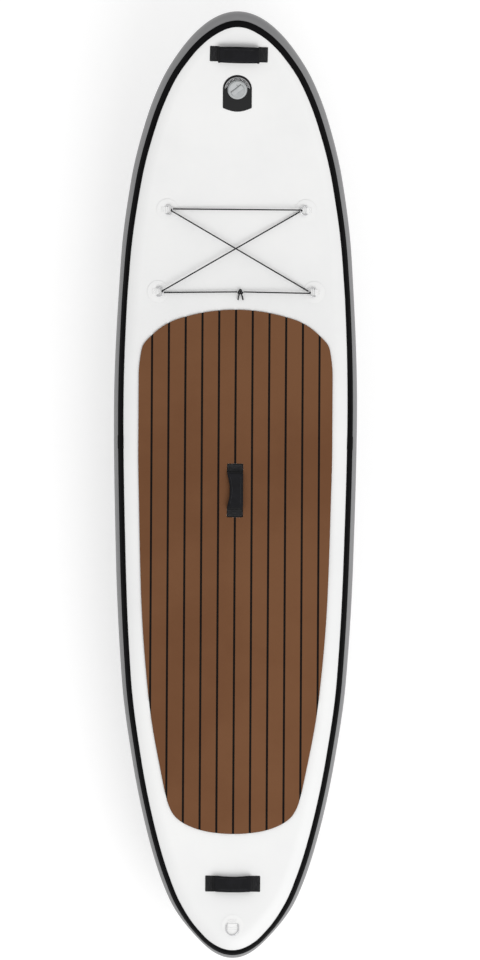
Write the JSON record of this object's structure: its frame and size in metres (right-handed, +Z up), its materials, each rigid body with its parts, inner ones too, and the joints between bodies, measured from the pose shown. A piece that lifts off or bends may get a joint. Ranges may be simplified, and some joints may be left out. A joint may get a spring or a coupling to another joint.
{
  "type": "stand-up paddle board",
  "caption": "Inflatable stand-up paddle board with grooved deck pad, carry handles, nose bungee with rings, air valve, leash ring and a box-mounted centre fin between side fins.",
  "frame": {"origin": "on the hull's flat bottom, straight below the middle of the centre handle", "axes": "+Y to the nose, +X to the right-hand rail seen from above with the nose up, +Z up through the deck"},
  "size_m": [0.8204, 3.1996, 0.5468],
  "materials": {
    "white_skin": "satin",
    "grey_rail": "satin",
    "black_tape": "satin",
    "stitch_core": "matte",
    "black_foam": "matte",
    "brown_foam": "matte",
    "black_webbing": "matte",
    "black_neoprene": "matte",
    "white_patch": "satin",
    "ring_steel": "polished",
    "bungee_cover": "matte",
    "valve_plastic": "satin",
    "valve_dark": "satin",
    "seal_rubber": "matte",
    "spring_steel": "polished",
    "fin_plastic": "satin",
    "box_plastic": "satin",
    "screw_steel": "polished",
    "plate_brass": "satin"
  },
  "bodies": {
    "hull": {"drop_stitch_core": "stitch_core", "deck_skin": "white_skin", "bottom_skin": "white_skin", "rail_wall": "grey_rail", "rail_tape_upper": "black_tape", "rail_tape_lower": "black_tape", "pad_base": "black_foam", "pad_plank_01": "brown_foam", "pad_plank_02": "brown_foam", "pad_plank_03": "brown_foam", "pad_plank_04": "brown_foam", "pad_plank_05": "brown_foam", "pad_plank_06": "brown_foam", "pad_plank_07": "brown_foam", "pad_plank_08": "brown_foam", "pad_plank_09": "brown_foam", "pad_plank_10": "brown_foam", "pad_plank_11": "brown_foam", "pad_plank_12": "brown_foam", "nose_handle_strap": "black_webbing", "nose_handle_patch_left": "black_webbing", "nose_handle_patch_right": "black_webbing", "centre_handle_strap": "black_webbing", "centre_handle_patch_front": "black_webbing", "centre_handle_patch_rear": "black_webbing", "tail_handle_strap": "black_webbing", "tail_handle_patch_left": "black_webbing", "tail_handle_patch_right": "black_webbing", "upper_left_patch": "white_patch", "upper_right_patch": "white_patch", "lower_left_patch": "white_patch", "lower_right_patch": "white_patch", "tail_patch": "white_patch", "bungee_cord": "bungee_cover", "bungee_knot": "bungee_cover", "valve_patch": "black_tape", "valve_body": "valve_plastic", "valve_nut": "valve_dark", "valve_spring": "spring_steel", "fin_box": "box_plastic", "side_fin_left": "fin_plastic", "side_fin_right": "fin_plastic"},
    "nose_grip": {"nose_handle_grip": "black_neoprene"},
    "centre_grip": {"centre_handle_grip": "black_neoprene"},
    "tail_grip": {"tail_handle_grip": "black_neoprene"},
    "upper_left_d_ring": {"upper_left_ring": "ring_steel"},
    "upper_right_d_ring": {"upper_right_ring": "ring_steel"},
    "lower_left_d_ring": {"lower_left_ring": "ring_steel"},
    "lower_right_d_ring": {"lower_right_ring": "ring_steel"},
    "leash_ring": {"tail_ring": "ring_steel"},
    "cap_seal": {"valve_cap_seal": "seal_rubber"},
    "cap": {"valve_cap": "valve_plastic"},
    "diaphragm": {"valve_diaphragm": "seal_rubber"},
    "stem": {"valve_stem": "valve_dark"},
    "fin": {"centre_fin": "fin_plastic", "fin_nut_plate": "plate_brass"},
    "screw": {"fin_screw": "screw_steel"}
  },
  "joints": [
    {"name": "nose_grip_lift", "type": "slide", "parent": "hull", "child": "nose_grip", "axis": [0, -0.3139, 0.9494], "range_m": [0, 0.018], "deforming": ["nose_handle_strap"]},
    {"name": "centre_grip_lift", "type": "slide", "parent": "hull", "child": "centre_grip", "axis": [0, 0, 1], "range_m": [0, 0.018], "deforming": ["centre_handle_strap"]},
    {"name": "tail_grip_lift", "type": "slide", "parent": "hull", "child": "tail_grip", "axis": [0, 0.0216, 0.9998], "range_m": [0, 0.018], "deforming": ["tail_handle_strap"]},
    {"name": "upper_left_ring_tilt", "type": "hinge", "parent": "hull", "child": "upper_left_d_ring", "pos_m": [-0.238, 0.94851, 0.17426], "axis": [0, -0.9902, -0.1394], "range_deg": [-5, 25], "stiffness_Nm_per_rad": 0.1, "deforming": ["bungee_cord"]},
    {"name": "upper_right_ring_tilt", "type": "hinge", "parent": "hull", "child": "upper_right_d_ring", "pos_m": [0.238, 0.94851, 0.17426], "axis": [0, 0.9902, 0.1394], "range_deg": [-5, 25], "stiffness_Nm_per_rad": 0.1, "deforming": ["bungee_cord"]},
    {"name": "lower_left_ring_tilt", "type": "hinge", "parent": "hull", "child": "lower_left_d_ring", "pos_m": [-0.268, 0.67193, 0.15461], "axis": [0, -0.9998, -0.0196], "range_deg": [-5, 25], "stiffness_Nm_per_rad": 0.1, "deforming": ["bungee_cord"]},
    {"name": "lower_right_ring_tilt", "type": "hinge", "parent": "hull", "child": "lower_right_d_ring", "pos_m": [0.268, 0.67193, 0.15461], "axis": [0, 0.9998, 0.0196], "range_deg": [-5, 25], "stiffness_Nm_per_rad": 0.1, "deforming": ["bungee_cord"]},
    {"name": "leash_ring_swing", "type": "hinge", "parent": "hull", "child": "leash_ring", "pos_m": [0, -1.46878, 0.16166], "axis": [-1, 0, 0], "range_deg": [0, 150]},
    {"name": "cap_lift", "type": "slide", "parent": "hull", "child": "cap_seal", "axis": [0, -0.2616, 0.9652], "range_m": [0, 0.003]},
    {"name": "cap_turn", "type": "hinge", "parent": "cap_seal", "child": "cap", "pos_m": [0, 1.355, 0.25291], "axis": [0, -0.2616, 0.9652], "range_deg": [0, 90]},
    {"name": "stem_push", "type": "slide", "parent": "hull", "child": "diaphragm", "axis": [0, 0.2616, -0.9652], "range_m": [0, 0.005], "stiffness_N_per_m": 600, "springref_m": -0.004, "deforming": ["valve_spring"]},
    {"name": "stem_turn", "type": "hinge", "parent": "diaphragm", "child": "stem", "pos_m": [0, 1.355, 0.25291], "axis": [0, -0.2616, 0.9652], "range_deg": [0, 90]},
    {"name": "fin_slide", "type": "slide", "parent": "hull", "child": "fin", "axis": [0, 1, 0], "range_m": [-0.04, 0.026]},
    {"name": "fin_screw_turn", "type": "hinge", "parent": "fin", "child": "screw", "pos_m": [0, -1.0395, -0.02], "axis": [0, 0, 1], "continuous": true}
  ],
  "couplings": [
    {"joint": "cap_lift", "follows": "cap_turn", "m_per_rad": 0.0019099}
  ]
}
